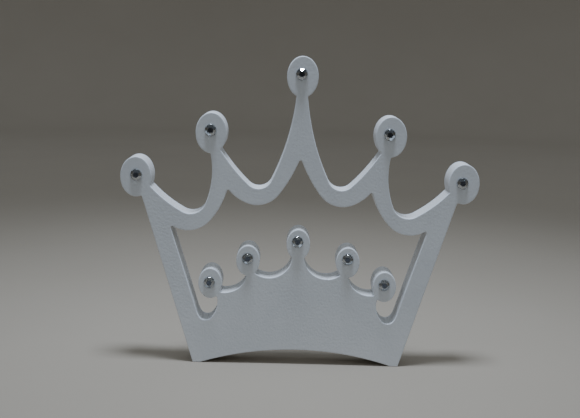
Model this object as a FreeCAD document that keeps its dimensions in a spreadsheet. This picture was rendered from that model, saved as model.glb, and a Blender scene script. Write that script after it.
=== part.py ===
import FreeCAD, Part
import math
import os

import Sketcher

# A free-standing crown cut from one thick board, with a smaller crown left standing inside its
# window and a flat-backed rhinestone glued to the front of each of its ten oval finials.
# Frame: X to the right, Y to the back, Z up. The origin is on the surface that the crown
# stands on, midway between its feet, in the middle of the board's thickness. Millimetres.

# Driving dimensions: name, value, what it is. Heights are above the feet. A valley is the dip
# between two finials, and a scallop is the lobe of the band below it.
SIZES = [
    ("board_thickness", 15.0, "thickness of the board"),
    ("cutter_radius", 0.8, "rounding that the cutter leaves in inside corners"),
    ("edge_round", 0.5, "radius sanded onto the front and back edges"),
    # outer outline
    ("foot_x", 59.0, "outer corner of a foot"),
    ("foot_width", 4.5, "flat under a foot"),
    ("arch_rise", 8.6, "height of the arch between the feet"),
    ("leg_top_x", 88.7, "upper end of the sloping side, inside the low finial"),
    ("leg_top_z", 98.0, "its height"),
    ("finial_width", 17.3, "width of an oval finial of the outer crown"),
    ("finial_height", 22.5, "its height"),
    ("finial_low_x", 91.35, "middle of the low finials"),
    ("finial_low_z", 106.7, ""),
    ("finial_high_x", 49.7, "middle of the high finials"),
    ("finial_high_z", 132.0, ""),
    ("finial_top_z", 163.75, "middle of the top finial"),
    ("spire_end_z", 155.0, "upper end of the middle spire, inside the top finial"),
    # valley between the low and the high finial: bottom arc and the arcs that rise from it
    ("valley_low_x", 61.1, "centre of the bottom arc"),
    ("valley_low_z", 95.8, ""),
    ("valley_low_radius", 9.2, "bottom arc"),
    ("valley_low_left_radius", 49.0, "arc up to the high finial"),
    ("valley_low_left_x", 50.5, "its end, inside the finial"),
    ("valley_low_left_z", 123.0, ""),
    ("valley_low_right_radius", 70.0, "arc up to the low finial"),
    ("valley_low_right_x", 86.0, "its end, inside the finial"),
    ("valley_low_right_z", 104.8, ""),
    # valley between the high and the top finial
    ("valley_high_x", 23.2, "centre of the bottom arc"),
    ("valley_high_z", 109.5, ""),
    ("valley_high_radius", 7.9, "bottom arc"),
    ("valley_high_left_radius", 140.0, "arc up the spire"),
    ("valley_high_left_x", 2.95, "its end, inside the top finial"),
    ("valley_high_right_radius", 98.0, "arc up to the high finial"),
    ("valley_high_right_x", 45.7, "its end, inside the finial"),
    ("valley_high_right_z", 125.0, ""),
    # window: the undersides of the band
    ("window_top_z", 119.2, "peak of the window"),
    ("cusp_x", 40.4, "point between the two scallops"),
    ("cusp_z", 101.4, ""),
    ("scallop_high_x", 24.0, "centre of the high scallop's bottom arc"),
    ("scallop_high_z", 107.8, ""),
    ("scallop_high_radius", 15.6, "bottom arc"),
    ("scallop_high_left_radius", 83.0, "arc up to the peak"),
    ("scallop_high_right_radius", 25.0, "arc up to the cusp"),
    ("scallop_low_x", 62.5, "centre of the low scallop's bottom arc"),
    ("scallop_low_z", 93.4, ""),
    ("scallop_low_radius", 16.5, "bottom arc"),
    ("scallop_low_left_radius", 42.0, "arc up to the cusp"),
    # window: the legs and the bays beside the inner crown
    ("window_corner_x", 72.4, "upper corner of the window, at the end of the low scallop"),
    ("window_side_angle", 72.8, "slope of the window's straight side, in degrees from level"),
    ("bay_x", 51.9, "centre of a bay's bottom arc"),
    ("bay_z", 29.5, ""),
    ("bay_radius", 4.3, "bottom arc"),
    ("bay_left_radius", 13.7, "arc up to the inner crown's low finial"),
    ("bay_left_x", 46.0, "its end, inside the finial"),
    ("bay_left_z", 40.6, ""),
    ("bay_right_radius", 12.6, "arc into the leg"),
    # inner crown
    ("bud_width", 13.3, "width of an oval finial of the inner crown"),
    ("bud_height", 17.5, "its height"),
    ("bud_low_x", 49.45, "middle of the low finials"),
    ("bud_low_z", 46.8, ""),
    ("bud_high_x", 28.2, "middle of the high finials"),
    ("bud_high_z", 60.4, ""),
    ("bud_top_z", 70.2, "middle of the top finial"),
    ("dip_low_x", 41.5, "centre of the arc between the low and the high finial"),
    ("dip_low_z", 54.9, ""),
    ("dip_low_radius", 13.3, ""),
    ("dip_low_left_x", 28.3, "its ends, inside the finials"),
    ("dip_low_right_x", 45.2, ""),
    ("dip_high_x", 16.4, "centre of the arc between the high and the top finial"),
    ("dip_high_z", 63.7, ""),
    ("dip_high_radius", 13.0, ""),
    ("dip_high_left_x", 3.41, "its ends, inside the finials"),
    ("dip_high_right_x", 25.2, ""),
    # rhinestones
    ("stone_width", 6.5, "diameter of a rhinestone"),
    ("stone_height", 2.05, "from its flat back to its table"),
    ("girdle_height", 0.3, "upright rim below the facets"),
    ("table_width", 2.8, "across the flats of the eight-sided table"),
    ("star_angle", 26.0, "slope of the eight facets that edge the table"),
    ("main_angle", 43.0, "slope of the eight large facets"),
    ("rim_angle", 56.0, "slope of the sixteen facets that edge the girdle"),
    ("foil_width", 6.4, "diameter of the silver foil on the flat back"),
    ("foil_thickness", 0.1, ""),
    ("glue_width", 6.1, "diameter of the pressed dab of glue"),
    ("glue_thickness", 0.15, ""),
]

# The ten finials: name, the cells that place its middle (none for x on the centre line), the
# side it is on, and how far its hand-glued stone sits from that middle, across and up.
FINIALS = [
    ("outer_left_low", "finial_low_x", "finial_low_z", -1, 0.3, 1.1),
    ("outer_left_high", "finial_high_x", "finial_high_z", -1, -0.3, 1.6),
    ("outer_top", None, "finial_top_z", 1, -0.6, 1.6),
    ("outer_right_high", "finial_high_x", "finial_high_z", 1, -1.0, 1.4),
    ("outer_right_low", "finial_low_x", "finial_low_z", 1, -1.0, 0.6),
    ("inner_left_low", "bud_low_x", "bud_low_z", -1, -0.4, 0.5),
    ("inner_left_high", "bud_high_x", "bud_high_z", -1, -0.2, 1.2),
    ("inner_top", None, "bud_top_z", 1, -0.5, 1.7),
    ("inner_right_high", "bud_high_x", "bud_high_z", 1, -0.2, 2.0),
    ("inner_right_low", "bud_low_x", "bud_low_z", 1, -0.2, 1.2),
]

NEAR = 1e-3  # mm; how close two places are to count as one
PROBE_REACH = 0.2  # mm; how far from an edge the board is probed for an inside corner
NOOK_SHARE = 0.6  # an edge with more than this share of board all round it is an inside corner
FIRST_STONE_TURN = 11.0  # degrees; the stones were glued on at no particular angle
TURN_BETWEEN_STONES = 17.0
START = 1  # the Sketcher's numbers for the points of a line or an arc
END = 2
CENTRE = 3
ORIGIN = (-1, 1)
UPRIGHT_AXIS = -2

doc = FreeCAD.newDocument("Crown")
sheet = doc.addObject("Spreadsheet::Sheet", "Sizes")


# ------------------------------------------------------------------ spreadsheet


def cell_name(*words):
    """Join the parts of a cell's name."""
    return "_".join(words)


def fill_sheet():
    """Write the driving dimensions, with the stones' own places after them."""
    rows = list(SIZES)
    for name, _x_cell, _z_cell, _side, across, up in FINIALS:
        rows.append((cell_name(name, "across"), across, "stone off the middle of its finial"))
        rows.append((cell_name(name, "up"), up, ""))
    for number, (alias, value, note) in enumerate(rows, start=1):
        sheet.set("A%d" % number, alias)
        sheet.set("B%d" % number, str(value))
        sheet.set("C%d" % number, note)
        sheet.setAlias("B%d" % number, alias)
    doc.recompute()


def size(alias):
    """The number in a cell of the sheet."""
    return float(sheet.get(alias))


def place(x_cell, z_cell):
    """The point that two cells give."""
    return FreeCAD.Vector(size(x_cell), size(z_cell), 0)


# ------------------------------------------------------------------ sketching


def origin_feature(body, role):
    """One of a body's own planes or axes, such as XZ_Plane or Z_Axis."""
    return next(item for item in body.Origin.OriginFeatures if item.Role == role)


def new_sketch(body, name, plane, turn=0.0):
    """A sketch on one of the body's own planes, turned about the sketch's upright axis."""
    sketch = body.newObject("Sketcher::SketchObject", name)
    sketch.AttachmentSupport = (origin_feature(body, plane), [""])
    sketch.MapMode = "FlatFace"
    upright = FreeCAD.Vector(0, 1, 0)
    sketch.AttachmentOffset = FreeCAD.Placement(FreeCAD.Vector(), FreeCAD.Rotation(upright, turn))
    return sketch


def bind(sketch, kind, where, value, name, expression):
    """Add a dimension and tie it to the sheet."""
    sketch.addConstraint(Sketcher.Constraint(kind, *where, value))
    sketch.renameConstraint(sketch.ConstraintCount - 1, name)
    sketch.setExpression("Constraints." + name, expression)


def fix_x(sketch, point, cell):
    """Hold a point at the distance from the upright axis that a cell gives."""
    name = "%s_at_%d_%d" % (cell, *point)
    bind(sketch, "DistanceX", (*ORIGIN, *point), size(cell), name, "Sizes." + cell)


def fix_z(sketch, point, cell):
    """Hold a point at the height that a cell gives."""
    name = "%s_at_%d_%d" % (cell, *point)
    bind(sketch, "DistanceY", (*ORIGIN, *point), size(cell), name, "Sizes." + cell)


def fix_radius(sketch, arc, cell):
    """Give an arc the radius in a cell."""
    bind(sketch, "Radius", (arc,), size(cell), cell, "Sizes." + cell)


def join(sketch, first, second):
    """Put two end points in one place."""
    sketch.addConstraint(Sketcher.Constraint("Coincident", *first, *second))


def on_axis(sketch, point):
    """Hold a point on the sketch's upright axis."""
    sketch.addConstraint(Sketcher.Constraint("PointOnObject", *point, UPRIGHT_AXIS))


def flow(sketch, first, second):
    """Join two end points smoothly."""
    sketch.addConstraint(Sketcher.Constraint("Tangent", *first, *second))


def add_line(sketch, start, end):
    """A straight edge."""
    return sketch.addGeometry(Part.LineSegment(start, end), False)


def add_arc(sketch, centre, radius, start, end):
    """An arc about centre, anticlockwise from start to end."""
    circle = Part.Circle(centre, FreeCAD.Vector(0, 0, 1), radius)
    first = math.atan2(start.y - centre.y, start.x - centre.x)
    last = math.atan2(end.y - centre.y, end.x - centre.x)
    if last < first:
        last += 2 * math.pi
    return sketch.addGeometry(Part.ArcOfCircle(circle, first, last), False)


def side_arc_centre(centre, radius, end, side_radius, side):
    """Centre of the arc that passes through end and runs smoothly into a bottom arc.

    side is -1 for the arc on the left and 1 for the arc on the right; each has its centre
    beyond the middle of the bottom arc.
    """
    reach = end - centre
    distance = reach.Length
    gap = side_radius - radius
    along = (gap**2 - side_radius**2 + distance**2) / (2 * distance)
    off = math.sqrt(gap**2 - along**2)
    forward = reach * (1 / distance)
    across = FreeCAD.Vector(-forward.y, forward.x, 0)
    return centre + forward * along + across * (off * side)


def touching_point(centre, radius, side_centre):
    """Where a bottom arc meets a side arc."""
    away = centre - side_centre
    return centre + away * (radius / away.Length)


def add_side_arc(sketch, curve, bottom, side, end):
    """An arc that rises smoothly from one end of a curve's bottom arc, up to the point end."""
    name = "left" if side < 0 else "right"
    centre = place(curve + "_x", curve + "_z")
    radius = size(curve + "_radius")
    side_radius = size(cell_name(curve, name, "radius"))
    side_centre = side_arc_centre(centre, radius, end, side_radius, side)
    meeting = touching_point(centre, radius, side_centre)
    if side < 0:
        arc = add_arc(sketch, side_centre, side_radius, end, meeting)
        flow(sketch, (arc, END), (bottom, START))
    else:
        arc = add_arc(sketch, side_centre, side_radius, meeting, end)
        flow(sketch, (bottom, END), (arc, START))
    fix_radius(sketch, arc, cell_name(curve, name, "radius"))
    return arc


def add_bottom_arc(sketch, curve, left_end, right_end):
    """The bottom arc of a curve, between its two side arcs or the given points."""
    centre = place(curve + "_x", curve + "_z")
    bottom = add_arc(sketch, centre, size(curve + "_radius"), left_end, right_end)
    fix_x(sketch, (bottom, CENTRE), curve + "_x")
    fix_z(sketch, (bottom, CENTRE), curve + "_z")
    fix_radius(sketch, bottom, curve + "_radius")
    return bottom


def side_meeting(curve, side, end):
    """Where a curve's bottom arc gives way to its side arc."""
    name = "left" if side < 0 else "right"
    centre = place(curve + "_x", curve + "_z")
    radius = size(curve + "_radius")
    side_radius = size(cell_name(curve, name, "radius"))
    return touching_point(centre, radius, side_arc_centre(centre, radius, end, side_radius, side))


def add_curve(sketch, curve, left_end, right_end):
    """A bottom arc with a side arc at each end. Returns its left and right arcs."""
    from_left = side_meeting(curve, -1, left_end)
    from_right = side_meeting(curve, 1, right_end)
    bottom = add_bottom_arc(sketch, curve, from_left, from_right)
    left = add_side_arc(sketch, curve, bottom, -1, left_end)
    right = add_side_arc(sketch, curve, bottom, 1, right_end)
    return left, right


def add_oval(sketch, x_cell, z_cell, width_cell, height_cell):
    """An upright oval about the point that two cells give; x_cell is None on the centre line."""
    middle = FreeCAD.Vector(size(x_cell) if x_cell else 0, size(z_cell), 0)
    across = FreeCAD.Vector(size(width_cell) / 2, 0, 0)
    up = FreeCAD.Vector(0, size(height_cell) / 2, 0)
    oval = sketch.addGeometry(Part.Ellipse(middle + up, middle + across, middle), False)
    sketch.exposeInternalGeometry(oval)
    long_axis = oval + 1
    short_axis = oval + 2
    sketch.addConstraint(Sketcher.Constraint("Vertical", long_axis))
    label = "%s_%d" % (z_cell, oval)
    bind(sketch, "Distance", (long_axis,), 2 * up.y, "height_" + label, "Sizes." + height_cell)
    bind(sketch, "Distance", (short_axis,), 2 * across.x, "width_" + label, "Sizes." + width_cell)
    if x_cell:
        fix_x(sketch, (oval, CENTRE), x_cell)
    else:
        on_axis(sketch, (oval, CENTRE))
    fix_z(sketch, (oval, CENTRE), z_cell)


# ------------------------------------------------------------------ board


def new_body(label):
    """An empty body under the name that its file gets."""
    body = doc.addObject("PartDesign::Body", label)
    body.Label = label
    return body


def draw_half_outline(body):
    """The right half of the outer crown: arch, foot, side, low valley, high valley, spire."""
    sketch = new_sketch(body, "HalfOutline", "XZ_Plane")
    rise = size("arch_rise")
    flat_end = size("foot_x") - size("foot_width")
    arch_radius = (flat_end**2 + rise**2) / (2 * rise)
    arch_top = FreeCAD.Vector(0, rise, 0)
    flat_start = FreeCAD.Vector(flat_end, 0, 0)
    foot = FreeCAD.Vector(size("foot_x"), 0, 0)
    leg_top = place("leg_top_x", "leg_top_z")
    low_right = place("valley_low_right_x", "valley_low_right_z")
    low_left = place("valley_low_left_x", "valley_low_left_z")
    high_right = place("valley_high_right_x", "valley_high_right_z")
    spire_end = place("valley_high_left_x", "spire_end_z")
    spire_top = FreeCAD.Vector(0, spire_end.y, 0)

    arch = add_arc(sketch, FreeCAD.Vector(0, rise - arch_radius, 0), arch_radius, flat_start, arch_top)
    under_foot = add_line(sketch, flat_start, foot)
    leg = add_line(sketch, foot, leg_top)
    into_finial = add_line(sketch, leg_top, low_right)
    low = add_curve(sketch, "valley_low", low_left, low_right)
    through_finial = add_line(sketch, low_left, high_right)
    high = add_curve(sketch, "valley_high", spire_end, high_right)
    across_top = add_line(sketch, spire_end, spire_top)
    centre_line = add_line(sketch, spire_top, arch_top)

    join(sketch, (arch, START), (under_foot, START))
    join(sketch, (under_foot, END), (leg, START))
    join(sketch, (leg, END), (into_finial, START))
    join(sketch, (into_finial, END), (low[1], END))
    join(sketch, (low[0], START), (through_finial, START))
    join(sketch, (through_finial, END), (high[1], END))
    join(sketch, (high[0], START), (across_top, START))
    join(sketch, (across_top, END), (centre_line, START))
    join(sketch, (centre_line, END), (arch, END))

    on_axis(sketch, (arch, CENTRE))
    on_axis(sketch, (arch, END))
    on_axis(sketch, (across_top, END))
    sketch.addConstraint(Sketcher.Constraint("Horizontal", across_top))
    sketch.addConstraint(Sketcher.Constraint("Horizontal", under_foot))
    sketch.addConstraint(Sketcher.Constraint("PointOnObject", leg, START, -1))
    fix_x(sketch, (leg, START), "foot_x")
    bind(sketch, "Distance", (under_foot,), size("foot_width"), "foot_width", "Sizes.foot_width")
    fix_z(sketch, (arch, END), "arch_rise")
    fix_x(sketch, (leg, END), "leg_top_x")
    fix_z(sketch, (leg, END), "leg_top_z")
    fix_x(sketch, (low[1], END), "valley_low_right_x")
    fix_z(sketch, (low[1], END), "valley_low_right_z")
    fix_x(sketch, (low[0], START), "valley_low_left_x")
    fix_z(sketch, (low[0], START), "valley_low_left_z")
    fix_x(sketch, (high[1], END), "valley_high_right_x")
    fix_z(sketch, (high[1], END), "valley_high_right_z")
    fix_x(sketch, (high[0], START), "valley_high_left_x")
    fix_z(sketch, (high[0], START), "spire_end_z")
    return sketch


def below_centre(curve, x):
    """The point of a curve's bottom arc at x."""
    centre = place(curve + "_x", curve + "_z")
    drop = math.sqrt(size(curve + "_radius") ** 2 - (x - centre.x) ** 2)
    return FreeCAD.Vector(x, centre.y - drop, 0)


def bay_end(corner):
    """Where a bay's outer arc runs smoothly into the straight side below the corner."""
    slope = math.radians(size("window_side_angle"))
    along = FreeCAD.Vector(math.cos(slope), math.sin(slope), 0)
    outward = FreeCAD.Vector(along.y, -along.x, 0)
    centre = place("bay_x", "bay_z")
    radius = size("bay_radius")
    side_radius = size("bay_right_radius")
    gap = (corner - centre).dot(outward)
    climb = math.sqrt((gap - radius) * (2 * side_radius - radius - gap))
    return centre + outward * gap + along * climb


def draw_half_window(body):
    """The right half of the window: inner crown's dips, bay, leg, low scallop, high scallop."""
    sketch = new_sketch(body, "HalfWindow", "XZ_Plane")
    peak = FreeCAD.Vector(0, size("window_top_z"), 0)
    cusp = place("cusp_x", "cusp_z")
    corner = below_centre("scallop_low", size("window_corner_x"))
    bay_left = place("bay_left_x", "bay_left_z")
    bay_right = bay_end(corner)

    dips = {}
    for curve in ("dip_high", "dip_low"):
        ends = [below_centre(curve, size(cell_name(curve, side, "x"))) for side in ("left", "right")]
        arc = add_bottom_arc(sketch, curve, *ends)
        fix_x(sketch, (arc, START), curve + "_left_x")
        fix_x(sketch, (arc, END), curve + "_right_x")
        dips[curve] = (arc, *ends)
    high_dip, high_left, high_right = dips["dip_high"]
    low_dip, low_left, low_right = dips["dip_low"]

    foot_of_axis = FreeCAD.Vector(0, high_left.y, 0)
    start = add_line(sketch, foot_of_axis, high_left)
    past_high_bud = add_line(sketch, high_right, low_left)
    past_low_bud = add_line(sketch, low_right, bay_left)
    bay = add_curve(sketch, "bay", bay_left, bay_right)
    side = add_line(sketch, bay_right, corner)
    low_left_meeting = side_meeting("scallop_low", -1, cusp)
    low_scallop = add_bottom_arc(sketch, "scallop_low", low_left_meeting, corner)
    low_scallop_left = add_side_arc(sketch, "scallop_low", low_scallop, -1, cusp)
    high_scallop = add_curve(sketch, "scallop_high", peak, cusp)
    centre_line = add_line(sketch, peak, foot_of_axis)

    join(sketch, (start, END), (high_dip, START))
    join(sketch, (high_dip, END), (past_high_bud, START))
    join(sketch, (past_high_bud, END), (low_dip, START))
    join(sketch, (low_dip, END), (past_low_bud, START))
    join(sketch, (past_low_bud, END), (bay[0], START))
    flow(sketch, (bay[1], END), (side, START))
    join(sketch, (side, END), (low_scallop, END))
    join(sketch, (low_scallop_left, START), (high_scallop[1], END))
    join(sketch, (high_scallop[0], START), (centre_line, START))
    join(sketch, (centre_line, END), (start, START))

    on_axis(sketch, (centre_line, START))
    on_axis(sketch, (centre_line, END))
    sketch.addConstraint(Sketcher.Constraint("Horizontal", start))
    fix_z(sketch, (centre_line, START), "window_top_z")
    fix_x(sketch, (bay[0], START), "bay_left_x")
    fix_z(sketch, (bay[0], START), "bay_left_z")
    fix_x(sketch, (low_scallop_left, START), "cusp_x")
    fix_z(sketch, (low_scallop_left, START), "cusp_z")
    fix_x(sketch, (side, END), "window_corner_x")
    slope = math.radians(size("window_side_angle"))
    bind(sketch, "Angle", (side,), slope, "window_side_angle", "Sizes.window_side_angle * 1 deg")
    return sketch


def draw_side_finials(body):
    """The ovals of the right half, of the outer and the inner crown."""
    sketch = new_sketch(body, "SideFinials", "XZ_Plane")
    add_oval(sketch, "finial_low_x", "finial_low_z", "finial_width", "finial_height")
    add_oval(sketch, "finial_high_x", "finial_high_z", "finial_width", "finial_height")
    add_oval(sketch, "bud_low_x", "bud_low_z", "bud_width", "bud_height")
    add_oval(sketch, "bud_high_x", "bud_high_z", "bud_width", "bud_height")
    return sketch


def draw_middle_finials(body):
    """The top oval of each crown."""
    sketch = new_sketch(body, "MiddleFinials", "XZ_Plane")
    add_oval(sketch, None, "finial_top_z", "finial_width", "finial_height")
    add_oval(sketch, None, "bud_top_z", "bud_width", "bud_height")
    return sketch


def pad_both_ways(body, name, sketch):
    """Thicken a sketch to the board's thickness, half to each side of it."""
    pad = body.newObject("PartDesign::Pad", name)
    pad.Profile = sketch
    pad.SideType = "Symmetric"
    pad.setExpression("Length", "Sizes.board_thickness")
    pad.AllowMultiFace = True
    pad.Refine = True
    body.Tip = pad
    return pad


def cut_both_ways(body, name, sketch):
    """Cut a sketch right through, to each side of it."""
    pocket = body.newObject("PartDesign::Pocket", name)
    pocket.Profile = sketch
    pocket.SideType = "Symmetric"
    pocket.Type = "ThroughAll"
    body.Tip = pocket
    return pocket


def rim_edges(shape, y):
    """Names of the edges round the flat face at y."""
    names = []
    for number, edge in enumerate(shape.Edges, start=1):
        box = edge.BoundBox
        if abs(box.YMin - y) < NEAR and abs(box.YMax - y) < NEAR:
            names.append("Edge%d" % number)
    return names


def inside_corners(shape):
    """Names of the straight edges through the board where two of its sides meet in a nook."""
    names = []
    for number, edge in enumerate(shape.Edges, start=1):
        box = edge.BoundBox
        if box.XLength > NEAR or box.ZLength > NEAR:
            continue
        middle = edge.CenterOfMass
        ring = [middle + step for step in ring_steps(PROBE_REACH)]
        filled = sum(shape.isInside(point, NEAR, False) for point in ring)
        if filled > NOOK_SHARE * len(ring):
            names.append("Edge%d" % number)
    return names


def ring_steps(reach):
    """Steps of one length, all round, in the plane of the board."""
    count = 72
    turns = [2 * math.pi * index / count for index in range(count)]
    return [FreeCAD.Vector(reach * math.cos(turn), 0, reach * math.sin(turn)) for turn in turns]


def round_edges(body, name, base, edges, radius_cell):
    """Round some edges of a feature to the radius in a cell."""
    fillet = body.newObject("PartDesign::Fillet", name)
    fillet.Base = (base, edges)
    fillet.setExpression("Radius", "Sizes." + radius_cell)
    body.Tip = fillet
    return fillet


def make_board():
    """The white board: both crowns in one piece, cut right through and sanded at the edges."""
    body = new_body("crown_board")
    half = pad_both_ways(body, "HalfBoard", draw_half_outline(body))
    window = cut_both_ways(body, "Window", draw_half_window(body))
    finials = pad_both_ways(body, "SideFinialPads", draw_side_finials(body))
    mirrored = body.newObject("PartDesign::Mirrored", "OtherHalf")
    mirrored.Originals = [half, window, finials]
    mirrored.MirrorPlane = (origin_feature(body, "YZ_Plane"), [""])
    mirrored.Refine = True
    body.Tip = mirrored
    whole = pad_both_ways(body, "MiddleFinialPads", draw_middle_finials(body))
    doc.recompute()
    nooks = inside_corners(whole.Shape)
    corners = round_edges(body, "CutterCorners", whole, nooks, "cutter_radius")
    doc.recompute()
    half_thickness = size("board_thickness") / 2
    rims = rim_edges(corners.Shape, -half_thickness) + rim_edges(corners.Shape, half_thickness)
    round_edges(body, "SandedEdges", corners, rims, "edge_round")
    body.Placement = FreeCAD.Placement()
    return body


# ------------------------------------------------------------------ rhinestones


def disc_pad(body, name, plane, width_cell, height_cell):
    """A round blank that stands on a plane of its body."""
    sketch = new_sketch(body, name + "Circle", plane)
    flat = FreeCAD.Vector(0, 0, 1)
    circle = sketch.addGeometry(Part.Circle(FreeCAD.Vector(), flat, size(width_cell) / 2), False)
    join(sketch, (circle, CENTRE), ORIGIN)
    bind(sketch, "Diameter", (circle,), size(width_cell), width_cell, "Sizes." + width_cell)
    pad = body.newObject("PartDesign::Pad", name)
    pad.Profile = sketch
    pad.setExpression("Length", "Sizes." + height_cell)
    body.Tip = pad
    return pad


def grind_facets(body, name, angle_cell, radius, height, count, turn):
    """Cut one flat facet through the point at radius and height, and repeat it all round.

    The facet faces outwards at turn degrees about the stone's axis. radius and height are
    pairs: the number that places the cutter now, and the expression that keeps it there.
    """
    slope = math.radians(size(angle_cell))
    reach = size("stone_width")
    touch = FreeCAD.Vector(radius[0], height[0], 0)
    downhill = FreeCAD.Vector(math.cos(slope), -math.sin(slope), 0)
    high = touch - downhill * reach
    low = touch + downhill * reach
    far = FreeCAD.Vector(low.x, high.y, 0)
    sketch = new_sketch(body, name + "Cutter", "XZ_Plane", turn)
    upper = add_line(sketch, high, touch)
    lower = add_line(sketch, touch, low)
    outer = add_line(sketch, low, far)
    top = add_line(sketch, far, high)
    for first, second in ((upper, lower), (lower, outer), (outer, top), (top, upper)):
        join(sketch, (first, END), (second, START))
    sketch.addConstraint(Sketcher.Constraint("Parallel", upper, lower))
    sketch.addConstraint(Sketcher.Constraint("Vertical", outer))
    sketch.addConstraint(Sketcher.Constraint("Horizontal", top))
    bind(sketch, "DistanceX", (*ORIGIN, lower, START), radius[0], "radius", radius[1])
    bind(sketch, "DistanceY", (*ORIGIN, lower, START), height[0], "height", height[1])
    bind(sketch, "Angle", (lower,), -slope, "slope", "-Sizes.%s * 1 deg" % angle_cell)
    bind(sketch, "Distance", (upper,), reach, "upper_reach", "Sizes.stone_width")
    bind(sketch, "Distance", (lower,), reach, "lower_reach", "Sizes.stone_width")
    cut = cut_both_ways(body, name, sketch)
    pattern = body.newObject("PartDesign::PolarPattern", name + "Round")
    pattern.Originals = [cut]
    pattern.Axis = (origin_feature(body, "Z_Axis"), [""])
    pattern.Angle = 360
    pattern.Occurrences = count
    body.Tip = pattern
    return pattern


def set_on_finial(body, finial, number, layers):
    """Lay a body on its finial: its own Z points to the front, with layers of the stack below."""
    name, x_cell, z_cell, side, _across, _up = finial
    middle = "%d * Sizes.%s" % (side, x_cell) if x_cell else "0"
    stack = "".join(" - Sizes." + layer for layer in layers)
    to_front = FreeCAD.Rotation(FreeCAD.Vector(1, 0, 0), 90)
    turn = FIRST_STONE_TURN + TURN_BETWEEN_STONES * number
    about_itself = FreeCAD.Rotation(FreeCAD.Vector(0, 0, 1), turn)
    body.Placement = FreeCAD.Placement(FreeCAD.Vector(), to_front * about_itself)
    body.setExpression("Placement.Base.x", "%s + Sizes.%s_across" % (middle, name))
    body.setExpression("Placement.Base.y", "-Sizes.board_thickness / 2" + stack)
    body.setExpression("Placement.Base.z", "Sizes.%s + Sizes.%s_up" % (z_cell, name))


def make_glue(finial, number):
    """The dab of clear glue, pressed flat between the board and the foil."""
    body = new_body("glue_" + finial[0])
    disc_pad(body, "Dab", "XY_Plane", "glue_width", "glue_thickness")
    set_on_finial(body, finial, number, [])
    return body


def make_foil(finial, number):
    """The silver foil on a stone's flat back."""
    body = new_body("foil_" + finial[0])
    disc_pad(body, "Disc", "XY_Plane", "foil_width", "foil_thickness")
    set_on_finial(body, finial, number, ["glue_thickness"])
    return body


def make_stone(finial, number):
    """A round stone with a flat back, a girdle, and 8 large, 8 star and 16 rim facets."""
    body = new_body("stone_" + finial[0])
    disc_pad(body, "Blank", "XY_Plane", "stone_width", "stone_height")
    top = (size("stone_height"), "Sizes.stone_height")
    table_flat = (size("table_width") / 2, "Sizes.table_width / 2")
    table_corner = (table_flat[0] / math.cos(math.pi / 8), "Sizes.table_width / 2 / cos(22.5 deg)")
    girdle_top = (size("girdle_height"), "Sizes.girdle_height")
    rim = (size("stone_width") / 2, "Sizes.stone_width / 2")
    grind_facets(body, "MainFacets", "main_angle", table_corner, top, 8, 0.0)
    grind_facets(body, "StarFacets", "star_angle", table_flat, top, 8, 22.5)
    grind_facets(body, "RimFacets", "rim_angle", rim, girdle_top, 16, 11.25)
    set_on_finial(body, finial, number, ["glue_thickness", "foil_thickness"])
    return body


# ------------------------------------------------------------------ checks and files


def check_document(bodies):
    """Stop on any failed object, missing volume or broken solid."""
    for item in doc.Objects:
        bad = [state for state in item.State if state in ("Invalid", "Error")]
        if bad:
            raise RuntimeError("%s failed: %s" % (item.Name, bad))
    for body in bodies:
        shape = body.Shape
        if shape.isNull() or not shape.isValid() or len(shape.Solids) != 1:
            raise RuntimeError("%s isn't one valid solid" % body.Label)
        print("%-24s %10.3f mm3" % (body.Label, shape.Volume))


def write_parts(bodies):
    """Write each body to a STEP file under its label."""
    os.makedirs("parts", exist_ok=True)
    for body in bodies:
        body.Shape.exportStep("parts/%s.step" % body.Label)


def main():
    """Build the crown, check it and write its parts."""
    fill_sheet()
    bodies = [make_board()]
    for number, finial in enumerate(FINIALS):
        bodies.append(make_glue(finial, number))
        bodies.append(make_foil(finial, number))
        bodies.append(make_stone(finial, number))
    doc.recompute()
    check_document(bodies)
    write_parts(bodies)


main()
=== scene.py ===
"""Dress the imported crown: a painted MDF cut-out with a foiled rhinestone glued to each finial.

Everything is in metres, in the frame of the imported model: X to the right, Y to the back, Z up.
"""

import logging
import math
from dataclasses import dataclass, field
from enum import Enum
from typing import Any

import bmesh
import bpy
from mathutils import Matrix, Vector


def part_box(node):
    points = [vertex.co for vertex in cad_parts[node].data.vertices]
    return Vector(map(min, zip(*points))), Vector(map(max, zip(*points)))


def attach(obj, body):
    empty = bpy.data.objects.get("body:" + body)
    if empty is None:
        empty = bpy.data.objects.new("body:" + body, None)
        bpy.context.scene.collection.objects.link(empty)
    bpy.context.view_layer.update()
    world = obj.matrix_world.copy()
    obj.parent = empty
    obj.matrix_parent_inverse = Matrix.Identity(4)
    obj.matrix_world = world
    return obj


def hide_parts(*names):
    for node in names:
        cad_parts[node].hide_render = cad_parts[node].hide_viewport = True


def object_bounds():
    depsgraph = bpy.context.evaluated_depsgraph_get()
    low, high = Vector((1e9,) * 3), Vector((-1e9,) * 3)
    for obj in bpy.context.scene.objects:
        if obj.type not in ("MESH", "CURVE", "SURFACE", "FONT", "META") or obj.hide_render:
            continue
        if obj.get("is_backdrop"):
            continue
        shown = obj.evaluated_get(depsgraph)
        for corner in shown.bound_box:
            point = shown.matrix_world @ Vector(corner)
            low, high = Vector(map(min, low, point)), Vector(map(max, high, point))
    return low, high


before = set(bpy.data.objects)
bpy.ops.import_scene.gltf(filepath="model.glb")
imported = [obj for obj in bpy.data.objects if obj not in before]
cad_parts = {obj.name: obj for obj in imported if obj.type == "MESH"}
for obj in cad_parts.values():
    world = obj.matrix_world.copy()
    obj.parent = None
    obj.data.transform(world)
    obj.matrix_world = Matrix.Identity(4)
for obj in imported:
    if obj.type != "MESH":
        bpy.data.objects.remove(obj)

MM = 0.001
ONLY_BODY = "root"
NEXT_TO_NOTHING = 1e-6
GRAIN_RANGE = (0.3, 0.7)  # nearly all of a grain's value lies in it

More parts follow.
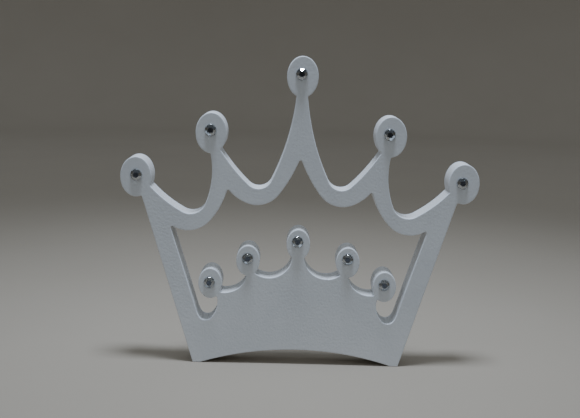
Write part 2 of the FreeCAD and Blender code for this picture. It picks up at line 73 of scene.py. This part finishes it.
log = logging.getLogger("crown")

Box = tuple[Vector, Vector]


class Slot(Enum):
    """Two of the record's finish names; nothing in this script uses them."""

    STONE = "rhinestone"
    GLUE = "clear_glue"


class Finial(Enum):
    """The ten finials, in the order in which their stones were glued on."""

    OUTER_LEFT_LOW = "outer_left_low"
    OUTER_LEFT_HIGH = "outer_left_high"
    OUTER_TOP = "outer_top"
    OUTER_RIGHT_HIGH = "outer_right_high"
    OUTER_RIGHT_LOW = "outer_right_low"
    INNER_LEFT_LOW = "inner_left_low"
    INNER_LEFT_HIGH = "inner_left_high"
    INNER_TOP = "inner_top"
    INNER_RIGHT_HIGH = "inner_right_high"
    INNER_RIGHT_LOW = "inner_right_low"


class Layer(Enum):
    """What lies on a finial, from the board outwards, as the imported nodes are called."""

    GLUE = "glue_"
    FOIL = "foil_"
    STONE = "stone_"


# ---------------------------------------------------------------- colours and nodes


def linear(hex_colour: str) -> tuple[float, float, float, float]:
    """Turn an sRGB colour to linear.

    Args:
        hex_colour: The colour as #RRGGBB.

    Returns:
        Red, green, blue and a full alpha.
    """
    channels = [int(hex_colour[start:start + 2], 16) / 255 for start in (1, 3, 5)]
    red, green, blue = (
        value / 12.92 if value <= 0.04045 else ((value + 0.055) / 1.055) ** 2.4 for value in channels
    )
    return red, green, blue, 1.0


def per_metre(size: float) -> float:
    """Give the texture scale at which one grain is so many millimetres."""
    return 1 / (size * MM)


def add_node(
    tree: bpy.types.NodeTree,
    kind: str,
    settings: dict[str, Any] | None = None,
    links: dict[str | int, bpy.types.NodeSocket] | None = None,
    inputs: dict[str | int, Any] | None = None,
) -> bpy.types.Node:
    """Add a node with its settings and links.

    Args:
        tree: The node tree that gets the node.
        kind: The node's type.
        settings: The node's own properties.
        links: The sockets that feed its inputs.
        inputs: The plain values of its other inputs.

    Returns:
        The new node.
    """
    node = tree.nodes.new(kind)
    for name, value in (settings or {}).items():
        setattr(node, name, value)
    for name, value in (inputs or {}).items():
        node.inputs[name].default_value = value
    for name, source in (links or {}).items():
        tree.links.new(source, node.inputs[name])
    return node


def new_material(name: str) -> tuple[bpy.types.Material, bpy.types.NodeTree]:
    """Make an empty node material.

    Args:
        name: The material's name.

    Returns:
        The material and its node tree.
    """
    material = bpy.data.materials.new(name)
    material.use_nodes = True
    material.node_tree.nodes.clear()
    return material, material.node_tree


def grain(
    tree: bpy.types.NodeTree, coordinates: bpy.types.NodeSocket, size: float, detail: float = 2.0
) -> bpy.types.NodeSocket:
    """Add a soft random grain.

    Args:
        tree: The node tree that gets it.
        coordinates: Where the grain is laid.
        size: The size of one grain in millimetres.
        detail: How many finer layers it has.

    Returns:
        A value about 0.5 that wanders between 0 and 1.
    """
    noise = add_node(
        tree, "ShaderNodeTexNoise", links={"Vector": coordinates},
        inputs={"Scale": per_metre(size), "Detail": detail, "Roughness": 0.55},
    )
    return noise.outputs["Fac"]


def spread(
    tree: bpy.types.NodeTree, value: bpy.types.NodeSocket, source: tuple[float, float],
    target: tuple[float, float],
) -> bpy.types.NodeSocket:
    """Stretch a value from one range to another, and hold it there.

    Args:
        tree: The node tree.
        value: The socket to stretch.
        source: The range that it comes in.
        target: The range that it leaves in.

    Returns:
        The stretched value.
    """
    node = add_node(
        tree, "ShaderNodeMapRange", links={"Value": value},
        inputs={
            "From Min": source[0], "From Max": source[1], "To Min": target[0], "To Max": target[1],
        },
    )
    return node.outputs["Result"]


def blend_colours(
    tree: bpy.types.NodeTree, share: bpy.types.NodeSocket, first: str, second: str
) -> bpy.types.NodeSocket:
    """Run from one colour to another.

    Args:
        tree: The node tree.
        share: How far to run, from 0 to 1.
        first: The colour at 0, as #RRGGBB.
        second: The colour at 1.

    Returns:
        The blended colour.
    """
    ramp = add_node(tree, "ShaderNodeValToRGB", links={"Fac": share})
    ramp.color_ramp.elements[0].color = linear(first)
    ramp.color_ramp.elements[1].color = linear(second)
    return ramp.outputs["Color"]


def finish_with(tree: bpy.types.NodeTree, shader: bpy.types.Node) -> None:
    """Give a material its surface."""
    add_node(tree, "ShaderNodeOutputMaterial", links={"Surface": shader.outputs[0]})


# ---------------------------------------------------------------- finishes


@dataclass(frozen=True)
class RolledPaintOnMdf:
    """Satin white water-based paint, rolled onto sanded MDF.

    The faces carry the roller's fine orange peel and barely uneven coats. The cut edge is
    thirstier in the board's loose core, so the paint there is a little duller and shows the
    cutter's strokes across the thickness. Its darker, greyer colour there is partly that thirsty
    paint and partly painted shade on the edges.
    """

    name: str = "rolled_satin_paint_on_mdf"
    thick_coat: str = "#E3E8ED"
    thin_coat: str = "#DDE2E7"
    # darker, greyer cut edge: partly thirsty paint, partly painted shade
    core_coat_and_edge_shade: str = "#DBDCDD"
    coat_patch: float = 28.0
    coat_contrast: tuple[float, float] = (0.35, 0.65)
    peel: float = 1.3  # millimetres; real peel is nearer 0.8, too fine to show at arm's length
    peel_depth: float = 0.14  # and nearer 0.05 deep
    peel_strength: float = 0.7
    stroke: float = 1.1
    stroke_length: float = 24.0
    stroke_depth: float = 0.05
    stroke_strength: float = 0.6
    face_sheen: tuple[float, float] = (0.36, 0.46)
    core_sheen: float = 0.56
    core_half: tuple[float, float] = (4.6, 6.8)
    ior: float = 1.5

    def make(self) -> bpy.types.Material:
        """Build the material.

        Returns:
            The painted board's material.
        """
        material, tree = new_material(self.name)
        place = add_node(tree, "ShaderNodeTexCoord").outputs["Object"]
        depth = add_node(tree, "ShaderNodeSeparateXYZ", links={"Vector": place}).outputs["Y"]
        off_middle = add_node(
            tree, "ShaderNodeMath", {"operation": "ABSOLUTE"}, links={0: depth}
        ).outputs[0]
        core = spread(tree, off_middle, tuple(half * MM for half in self.core_half), (1.0, 0.0))

        patches = grain(tree, place, self.coat_patch, 3.0)
        coats = blend_colours(tree, spread(tree, patches, self.coat_contrast, (0, 1)),
                              self.thin_coat, self.thick_coat)
        # the core of the cut edge takes the darker, greyer coat: partly thirsty paint, partly painted
        # shade
        colour = add_node(
            tree, "ShaderNodeMix", {"data_type": "RGBA"}, links={"Factor": core, 6: coats},
            inputs={7: linear(self.core_coat_and_edge_shade)},
        ).outputs[2]

        peel = grain(tree, place, self.peel, 1.5)
        face_sheen = spread(tree, peel, GRAIN_RANGE, self.face_sheen)
        sheen = add_node(
            tree, "ShaderNodeMix", {"data_type": "FLOAT"}, links={0: core, 2: face_sheen},
            inputs={3: self.core_sheen},
        ).outputs[0]

        long_ways = add_node(
            tree, "ShaderNodeMapping", links={"Vector": place},
            inputs={"Scale": (1.0, self.stroke / self.stroke_length, 1.0)},
        ).outputs[0]
        strokes = grain(tree, long_ways, self.stroke, 1.0)
        core_strokes = add_node(
            tree, "ShaderNodeMath", {"operation": "MULTIPLY"}, links={0: strokes, 1: core}
        ).outputs[0]
        ribbed = add_node(
            tree, "ShaderNodeBump", links={"Height": core_strokes},
            inputs={"Strength": self.stroke_strength, "Distance": self.stroke_depth * MM},
        ).outputs[0]
        relief = add_node(
            tree, "ShaderNodeBump", links={"Height": peel, "Normal": ribbed},
            inputs={"Strength": self.peel_strength, "Distance": self.peel_depth * MM},
        ).outputs[0]
        finish_with(tree, add_node(
            tree, "ShaderNodeBsdfPrincipled",
            links={"Base Color": colour, "Roughness": sheen, "Normal": relief},
            inputs={"IOR": self.ior},
        ))
        return material


@dataclass(frozen=True)
class CutGlass:
    """Machine-cut and polished crystal glass, with the faint wipe marks of handling.

    The silvered share stands for the light that the foil behind sends back through the facets.
    """

    name: str = "cut_and_polished_crystal_glass"
    clear: str = "#FBFDFE"
    smoky: str = "#E9EFF3"
    silvered: float = 0.5
    wipe_mark: float = 0.7
    wipe_contrast: tuple[float, float] = (0.45, 0.7)
    polish: tuple[float, float] = (0.0, 0.03)
    ior: float = 1.54

    def make(self) -> bpy.types.Material:
        """Build the material.

        Returns:
            The stones' material.
        """
        material, tree = new_material(self.name)
        place = add_node(tree, "ShaderNodeTexCoord").outputs["Object"]
        marks = grain(tree, place, self.wipe_mark, 3.0)
        finish_with(tree, add_node(
            tree, "ShaderNodeBsdfPrincipled",
            links={
                "Base Color": blend_colours(tree, marks, self.smoky, self.clear),
                "Roughness": spread(tree, marks, self.wipe_contrast, self.polish),
            },
            inputs={"IOR": self.ior, "Transmission Weight": 1.0, "Metallic": self.silvered},
        ))
        return material


@dataclass(frozen=True)
class SilverFoil:
    """Vacuum-silvered foil pressed onto glass: a bright mirror with soft wrinkles."""

    name: str = "pressed_silver_foil"
    bright: str = "#E3E6E9"
    dull: str = "#B9BDC2"
    wrinkle: float = 0.9
    wrinkle_depth: float = 0.02
    wrinkle_strength: float = 0.8
    sheen: tuple[float, float] = (0.08, 0.2)

    def make(self) -> bpy.types.Material:
        """Build the material.

        Returns:
            The foils' material.
        """
        material, tree = new_material(self.name)
        place = add_node(tree, "ShaderNodeTexCoord").outputs["Object"]
        wrinkles = grain(tree, place, self.wrinkle, 2.0)
        relief = add_node(
            tree, "ShaderNodeBump", links={"Height": wrinkles},
            inputs={"Strength": self.wrinkle_strength, "Distance": self.wrinkle_depth * MM},
        ).outputs[0]
        finish_with(tree, add_node(
            tree, "ShaderNodeBsdfPrincipled",
            links={
                "Base Color": blend_colours(tree, wrinkles, self.dull, self.bright),
                "Roughness": spread(tree, wrinkles, GRAIN_RANGE, self.sheen),
                "Normal": relief,
            },
            inputs={"Metallic": 1.0},
        ))
        return material


@dataclass(frozen=True)
class GelGlue:
    """Clear gel glue, cured glossy, with a trace of yellow and small lumps."""

    name: str = "cured_clear_gel_glue"
    clear: str = "#FAF9F2"
    yellowed: str = "#F1EDDC"
    lump: float = 0.8
    lump_depth: float = 0.03
    lump_strength: float = 0.6
    gloss: tuple[float, float] = (0.05, 0.15)
    ior: float = 1.47

    def make(self) -> bpy.types.Material:
        """Build the material.

        Returns:
            The glue's material.
        """
        material, tree = new_material(self.name)
        place = add_node(tree, "ShaderNodeTexCoord").outputs["Object"]
        lumps = grain(tree, place, self.lump, 2.0)
        relief = add_node(
            tree, "ShaderNodeBump", links={"Height": lumps},
            inputs={"Strength": self.lump_strength, "Distance": self.lump_depth * MM},
        ).outputs[0]
        finish_with(tree, add_node(
            tree, "ShaderNodeBsdfPrincipled",
            links={
                "Base Color": blend_colours(tree, lumps, self.yellowed, self.clear),
                "Roughness": spread(tree, lumps, GRAIN_RANGE, self.gloss),
                "Normal": relief,
            },
            inputs={"IOR": self.ior, "Transmission Weight": 1.0},
        ))
        return material


@dataclass(frozen=True)
class MattePaper:
    """Pale matte background paper: no gloss, and a faint cloudiness of tone."""

    name: str = "matte_background_paper"
    light: str = "#A2998C"
    dark: str = "#9D9487"
    cloud: float = 140.0
    tooth: float = 2.5  # millimetres; real tooth is finer than shows
    tooth_depth: float = 0.02
    tooth_strength: float = 0.3
    roughness: float = 0.85
    shine: float = 0.25

    def make(self) -> bpy.types.Material:
        """Build the material.

        Returns:
            The floor's material.
        """
        material, tree = new_material(self.name)
        place = add_node(tree, "ShaderNodeTexCoord").outputs["Object"]
        clouds = grain(tree, place, self.cloud, 2.0)
        relief = add_node(
            tree, "ShaderNodeBump", links={"Height": grain(tree, place, self.tooth, 1.0)},
            inputs={"Strength": self.tooth_strength, "Distance": self.tooth_depth * MM},
        ).outputs[0]
        finish_with(tree, add_node(
            tree, "ShaderNodeBsdfPrincipled",
            links={"Base Color": blend_colours(tree, clouds, self.dark, self.light), "Normal": relief},
            inputs={"Roughness": self.roughness, "Specular IOR Level": self.shine},
        ))
        return material


@dataclass(frozen=True)
class CharcoalCloth:
    """Charcoal wool cloth: a pile that gives back little light, a little uneven where brushed; only
    reflections see it, a painted dark reflection of the room in front.
    """

    name: str = "charcoal_cloth_for_painted_reflections"
    deep: str = "#454548"
    brushed: str = "#58585B"
    brush_mark: float = 60.0

    def make(self) -> bpy.types.Material:
        """Build the material.

        Returns:
            The flag's material.
        """
        material, tree = new_material(self.name)
        place = add_node(tree, "ShaderNodeTexCoord").outputs["Object"]
        pile = blend_colours(tree, grain(tree, place, self.brush_mark), self.deep, self.brushed)
        finish_with(tree, add_node(
            tree, "ShaderNodeBsdfPrincipled", links={"Base Color": pile},
            inputs={"Roughness": 1.0, "Specular IOR Level": 0.0},
        ))
        return material


# ---------------------------------------------------------------- shaping


def to_object(name: str, shape: bmesh.types.BMesh, material: bpy.types.Material) -> bpy.types.Object:
    """Finish a shape and put it in the scene.

    Args:
        name: The piece's name.
        shape: The finished shape, in the frame's metres. It is freed.
        material: The piece's material.

    Returns:
        The new object, at the origin.
    """
    bmesh.ops.remove_doubles(shape, verts=shape.verts, dist=NEXT_TO_NOTHING)
    bmesh.ops.recalc_face_normals(shape, faces=shape.faces)
    mesh = bpy.data.meshes.new(name)
    shape.to_mesh(mesh)
    shape.free()
    mesh.materials.append(material)
    piece = bpy.data.objects.new(name, mesh)
    bpy.context.scene.collection.objects.link(piece)
    return piece


def dress_node(name: str, material: bpy.types.Material) -> None:
    """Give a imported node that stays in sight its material.

    Args:
        name: The node's name.
        material: Its new material.
    """
    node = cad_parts[name]
    if not node.material_slots:
        node.data.materials.append(material)
    for slot in node.material_slots:
        slot.material = material


def on_front(box: Box, turn: float) -> Matrix:
    """Place something flat-backed against the front of what is behind it.

    Args:
        box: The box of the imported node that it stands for.
        turn: How far it is turned about its own axis, in degrees.

    Returns:
        The matrix from the piece's own frame, whose Z points out to the front.
    """
    low, high = box
    middle = Vector(((low.x + high.x) / 2, high.y, (low.z + high.z) / 2))
    to_front = Matrix.Rotation(math.radians(90), 4, "X")
    return Matrix.Translation(middle) @ to_front @ Matrix.Rotation(math.radians(turn), 4, "Z")


# ---------------------------------------------------------------- sub-assemblies


@dataclass
class CrownBoard:
    """Both crowns in one board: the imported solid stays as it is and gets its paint."""

    node: str = "crown_board"
    paint: RolledPaintOnMdf = field(default_factory=RolledPaintOnMdf)

    def build(self) -> None:
        """Paint the board."""
        dress_node(self.node, self.paint.make())
        low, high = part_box(self.node)
        log.info("%s: painted, %.1f mm wide", self.node, (high.x - low.x) / MM)


@dataclass
class Facets:
    """A ring of equal flat facets, each ground through a point of the stone's profile."""

    count: int
    slope: float
    radius: float
    height: float
    turn: float


@dataclass
class GluedStone:
    """A flat-backed rhinestone on its foil and its dab of glue, on one finial.

    Lengths are in millimetres and angles in degrees.
    """

    finial: str
    turn: float
    table_width: float = 2.8
    girdle: float = 0.3
    sides: int = 8
    star_slope: float = 26.0
    main_slope: float = 43.0
    rim_slope: float = 56.0
    worn_edge: float = 0.025
    foil_gap: float = 0.004
    roundness: int = 96
    glue_bulge: float = 0.05
    glue_wander: float = 0.03

    def facets(self, radius: float, height: float) -> list[Facets]:
        """List the stone's rings of facets.

        Args:
            radius: The stone's radius, in metres.
            height: Its height, in metres.

        Returns:
            The main facets, the star facets and the facets at the rim, twice as many.
        """
        flat = self.table_width * MM / 2
        corner = flat / math.cos(math.pi / self.sides)
        half_side = 180 / self.sides
        return [
            Facets(self.sides, self.main_slope, corner, height, 0.0),
            Facets(self.sides, self.star_slope, flat, height, half_side),
            Facets(2 * self.sides, self.rim_slope, radius, self.girdle * MM, half_side / 2),
        ]

    def grind(self, blank: bmesh.types.BMesh, ring: Facets) -> None:
        """Grind one ring of facets.

        Args:
            blank: The stone so far.
            ring: The facets to grind.
        """
        slope = math.radians(ring.slope)
        for number in range(ring.count):
            about = Matrix.Rotation(math.radians(ring.turn) + math.tau * number / ring.count, 3, "Z")
            cut = bmesh.ops.bisect_plane(
                blank, geom=[*blank.verts, *blank.edges, *blank.faces], dist=NEXT_TO_NOTHING / 10,
                plane_co=about @ Vector((ring.radius, 0, ring.height)),
                plane_no=about @ Vector((math.sin(slope), 0, math.cos(slope))), clear_outer=True,
            )
            rim = [item for item in cut["geom_cut"] if isinstance(item, bmesh.types.BMEdge)]
            bmesh.ops.contextual_create(blank, geom=rim)

    def make_stone(self, glass: bpy.types.Material) -> bpy.types.Object:
        """Cut the stone from a round blank.

        Args:
            glass: The stone's material.

        Returns:
            The finished stone.
        """
        node = Layer.STONE.value + self.finial
        low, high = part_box(node)
        radius, height = (high.x - low.x) / 2, high.y - low.y
        blank = bmesh.new()
        bmesh.ops.create_cone(
            blank, cap_ends=True, segments=self.roundness, radius1=radius, radius2=radius, depth=height,
        )
        bmesh.ops.translate(blank, verts=blank.verts, vec=(0, 0, height / 2))
        for ring in self.facets(radius, height):
            self.grind(blank, ring)
        bmesh.ops.remove_doubles(blank, verts=blank.verts, dist=0.01 * MM)
        edges = [edge for edge in blank.edges if edge.is_manifold and self.is_cut(edge)]
        bmesh.ops.bevel(
            blank, geom=edges, offset=self.worn_edge * MM, segments=1, profile=0.5,
            affect="EDGES", material=-1, clamp_overlap=True,
        )
        bmesh.ops.scale(blank, verts=blank.verts, vec=(1, 1, 1 - self.foil_gap * MM / height))
        bmesh.ops.translate(blank, verts=blank.verts, vec=(0, 0, self.foil_gap * MM))
        bmesh.ops.transform(blank, matrix=on_front((low, high), self.turn), verts=blank.verts)
        stone = to_object("rhinestone_" + self.finial, blank, glass)
        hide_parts(node)
        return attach(stone, ONLY_BODY)

    def is_cut(self, edge: bmesh.types.BMEdge) -> bool:
        """Tell whether an edge lies between two facets above the girdle."""
        above = all(vertex.co.z > (self.girdle + 0.02) * MM for vertex in edge.verts)
        return above and edge.calc_face_angle(0.0) > math.radians(5)

    def make_glue(self, gel: bpy.types.Material) -> bpy.types.Object:
        """Press a dab of glue flat, so that its rim bulges and wanders a little.

        Args:
            gel: The glue's material.

        Returns:
            The finished dab.
        """
        node = Layer.GLUE.value + self.finial
        low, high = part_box(node)
        radius, height = (high.x - low.x) / 2, high.y - low.y
        dab = bmesh.new()
        bmesh.ops.create_cone(
            dab, cap_ends=True, segments=self.roundness, radius1=radius, radius2=radius, depth=height,
        )
        bmesh.ops.translate(dab, verts=dab.verts, vec=(0, 0, height / 2))
        walls = [edge for edge in dab.edges if abs(edge.verts[0].co.z - edge.verts[1].co.z) > height / 2]
        ring = bmesh.ops.subdivide_edges(dab, edges=walls, cuts=3, use_grid_fill=True)
        middle = [item for item in ring["geom_inner"] if isinstance(item, bmesh.types.BMVert)]
        for vertex in middle:
            share = math.sin(math.pi * vertex.co.z / height)
            reach = 1 + self.glue_bulge * MM / radius * share
            bmesh.ops.scale(dab, verts=[vertex], vec=(reach, reach, 1))
        for vertex in dab.verts:
            around = math.atan2(vertex.co.y, vertex.co.x)
            wander = math.sin(2 * around + self.turn) + 0.6 * math.sin(5 * around + 2 * self.turn)
            reach = 1 + self.glue_wander * MM / radius * wander
            bmesh.ops.scale(dab, verts=[vertex], vec=(reach, reach, 1))
        bmesh.ops.transform(dab, matrix=on_front((low, high), self.turn), verts=dab.verts)
        piece = to_object("glue_dab_" + self.finial, dab, gel)
        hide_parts(node)
        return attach(piece, ONLY_BODY)

    def build(self, glass: bpy.types.Material, foil: bpy.types.Material, gel: bpy.types.Material) -> None:
        """Build the stone, its foil and its glue.

        Args:
            glass: The stone's material.
            foil: The foil's material.
            gel: The glue's material.
        """
        stone = self.make_stone(glass)
        dress_node(Layer.FOIL.value + self.finial, foil)
        self.make_glue(gel)
        log.info("%s: %d faces, on its foil and glue", stone.name, len(stone.data.polygons))


@dataclass
class Stones:
    """The ten glued stones, each turned its own way, as hand-glued ones are."""

    first_turn: float = 11.0
    turn_between: float = 17.0

    def build(self) -> None:
        """Build the stone, foil and glue of every finial."""
        glass, foil, gel = CutGlass().make(), SilverFoil().make(), GelGlue().make()
        for number, finial in enumerate(Finial):
            turn = self.first_turn + self.turn_between * number
            GluedStone(finial.value, turn).build(glass, foil, gel)


# ---------------------------------------------------------------- studio


@dataclass
class Studio:
    """A round sweep of pale paper under one soft lamp, and the camera. In metres.

    The lamp's spread is kept narrow, so that the paper falls dark behind the crown.
    """

    floor_radius: float = 1.5
    sweep_radius: float = 0.5
    wall_height: float = 0.6
    bend_steps: int = 16
    round_steps: int = 96
    lamp_place: tuple[float, float, float] = (0.0, -0.11, 1.26)
    lamp_width: float = 0.32
    lamp_depth: float = 0.17
    lamp_spread: float = 48.0
    lamp_power: float = 1.15
    lamp_colour: str = "#DDEBFF"
    sky_colour: str = "#E8F2FC"
    sky_strength: float = 0.62
    # the sky's strength in reflections and through glass: painted dimmer than the light it gives
    sky_painted_dim_in_reflections: float = 0.1
    flag_half_width: float = 0.8
    flag_near: float = -0.11
    flag_far: float = -1.1
    flag_height: float = 0.9
    flag_lift: float = 0.001
    eye: tuple[float, float, float] = (-0.0084, -0.5129, 0.1774)
    yaw: float = 0.36
    pitch: float = 9.75
    roll: float = 1.46
    lens: float = 56.98
    sensor_width: float = 36.0
    nearest: float = 0.02

    def make_sweep(self) -> bpy.types.Object:
        """Turn the floor and its rising wall about the upright axis.

        Returns:
            The sweep, marked as stage.
        """
        sweep = bmesh.new()
        middle = sweep.verts.new((0, 0, 0))
        edge = sweep.verts.new((self.floor_radius, 0, 0))
        sweep.edges.new((middle, edge))
        bend = bmesh.ops.spin(
            sweep, geom=[edge], cent=(self.floor_radius, 0, self.sweep_radius), axis=(0, -1, 0),
            angle=math.radians(90), steps=self.bend_steps, use_duplicate=False,
        )
        top = [item for item in bend["geom_last"] if isinstance(item, bmesh.types.BMVert)]
        wall = bmesh.ops.extrude_vert_indiv(sweep, verts=top)["verts"]
        bmesh.ops.translate(sweep, verts=wall, vec=(0, 0, self.wall_height))
        bmesh.ops.spin(
            sweep, geom=[*sweep.verts, *sweep.edges], cent=(0, 0, 0), axis=(0, 0, 1),
            angle=math.tau, steps=self.round_steps, use_merge=True,
        )
        bmesh.ops.remove_doubles(sweep, verts=sweep.verts, dist=NEXT_TO_NOTHING)
        floor = to_object("paper_sweep", sweep, MattePaper().make())
        for face in floor.data.polygons:
            face.use_smooth = True
        floor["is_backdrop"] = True
        return floor

    def hang_flag(self) -> bpy.types.Object:
        """Fold a dark cloth along the floor and up behind the camera, for the stones to mirror.

        Only reflections and glass see it, so that the tables of the stones read dark.

        Returns:
            The flag, marked as stage.
        """
        cloth = bmesh.new()
        near = [cloth.verts.new((side * self.flag_half_width, self.flag_near, self.flag_lift))
                for side in (-1, 1)]
        hem = cloth.edges.new(near)
        step = Vector((0, self.flag_far - self.flag_near, 0))
        for move in (step, Vector((0, 0, self.flag_height))):
            made = bmesh.ops.extrude_edge_only(cloth, edges=[hem])["geom"]
            bmesh.ops.translate(
                cloth, verts=[item for item in made if isinstance(item, bmesh.types.BMVert)], vec=move,
            )
            hem = next(
                item for item in made
                if isinstance(item, bmesh.types.BMEdge) and all(vertex in made for vertex in item.verts)
            )
        flag = to_object("dark_flag", cloth, CharcoalCloth().make())
        flag.visible_camera = False
        flag.visible_diffuse = False
        flag.visible_shadow = False
        flag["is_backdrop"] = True
        return flag

    def hang_lamp(self) -> None:
        """Hang the soft lamp above and a little in front of the crown, facing its middle."""
        lamp = bpy.data.lights.new("soft_lamp", "AREA")
        lamp.shape = "RECTANGLE"
        lamp.size = self.lamp_width
        lamp.size_y = self.lamp_depth
        lamp.spread = math.radians(self.lamp_spread)
        lamp.energy = self.lamp_power
        lamp.color = linear(self.lamp_colour)[:3]
        holder = bpy.data.objects.new("soft_lamp", lamp)
        place = Vector(self.lamp_place)
        low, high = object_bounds()
        holder.matrix_world = Matrix.Translation(place) @ (
            ((low + high) / 2 - place).to_track_quat("-Z", "Y").to_matrix().to_4x4()
        )
        bpy.context.scene.collection.objects.link(holder)

    def fill_sky(self) -> None:
        """Fill the room with weak, even light; in reflections the sky is made far dimmer, a painted dark
        ceiling for the stones to mirror.
        """
        world = bpy.data.worlds.new("room_light")
        world.use_nodes = True
        world.node_tree.nodes.clear()
        tree = world.node_tree
        on_matte = add_node(tree, "ShaderNodeLightPath").outputs["Is Diffuse Ray"]
        strength = spread(tree, on_matte, (0.0, 1.0), (self.sky_painted_dim_in_reflections, self.sky_strength))
        sky = add_node(
            tree, "ShaderNodeBackground", links={"Strength": strength},
            inputs={"Color": linear(self.sky_colour)},
        )
        add_node(tree, "ShaderNodeOutputWorld", links={"Surface": sky.outputs[0]})
        bpy.context.scene.world = world

    def place_camera(self) -> None:
        """Stand the camera in front of the crown, a little above it, looking slightly down."""
        camera = bpy.data.cameras.new("front_camera")
        camera.sensor_width = self.sensor_width
        camera.lens = self.lens
        camera.clip_start = self.nearest
        holder = bpy.data.objects.new("front_camera", camera)
        holder.matrix_world = (
            Matrix.Translation(Vector(self.eye))
            @ Matrix.Rotation(-math.radians(self.yaw), 4, "Z")
            @ Matrix.Rotation(math.radians(90 - self.pitch), 4, "X")
            @ Matrix.Rotation(math.radians(self.roll), 4, "Z")
        )
        bpy.context.scene.collection.objects.link(holder)
        bpy.context.scene.camera = holder

    def build(self) -> None:
        """Set up the paper, the lamp, the room light and the camera."""
        self.hang_lamp()
        self.fill_sky()
        self.hang_flag()
        floor = self.make_sweep()
        self.place_camera()
        log.info("%s: %d faces", floor.name, len(floor.data.polygons))


# ---------------------------------------------------------------- whole object


def main() -> None:
    """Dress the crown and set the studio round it."""
    logging.basicConfig(level=logging.INFO, format="%(name)s %(message)s")
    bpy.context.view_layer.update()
    CrownBoard().build()
    Stones().build()
    Studio().build()


if __name__ == "__main__":
    main()
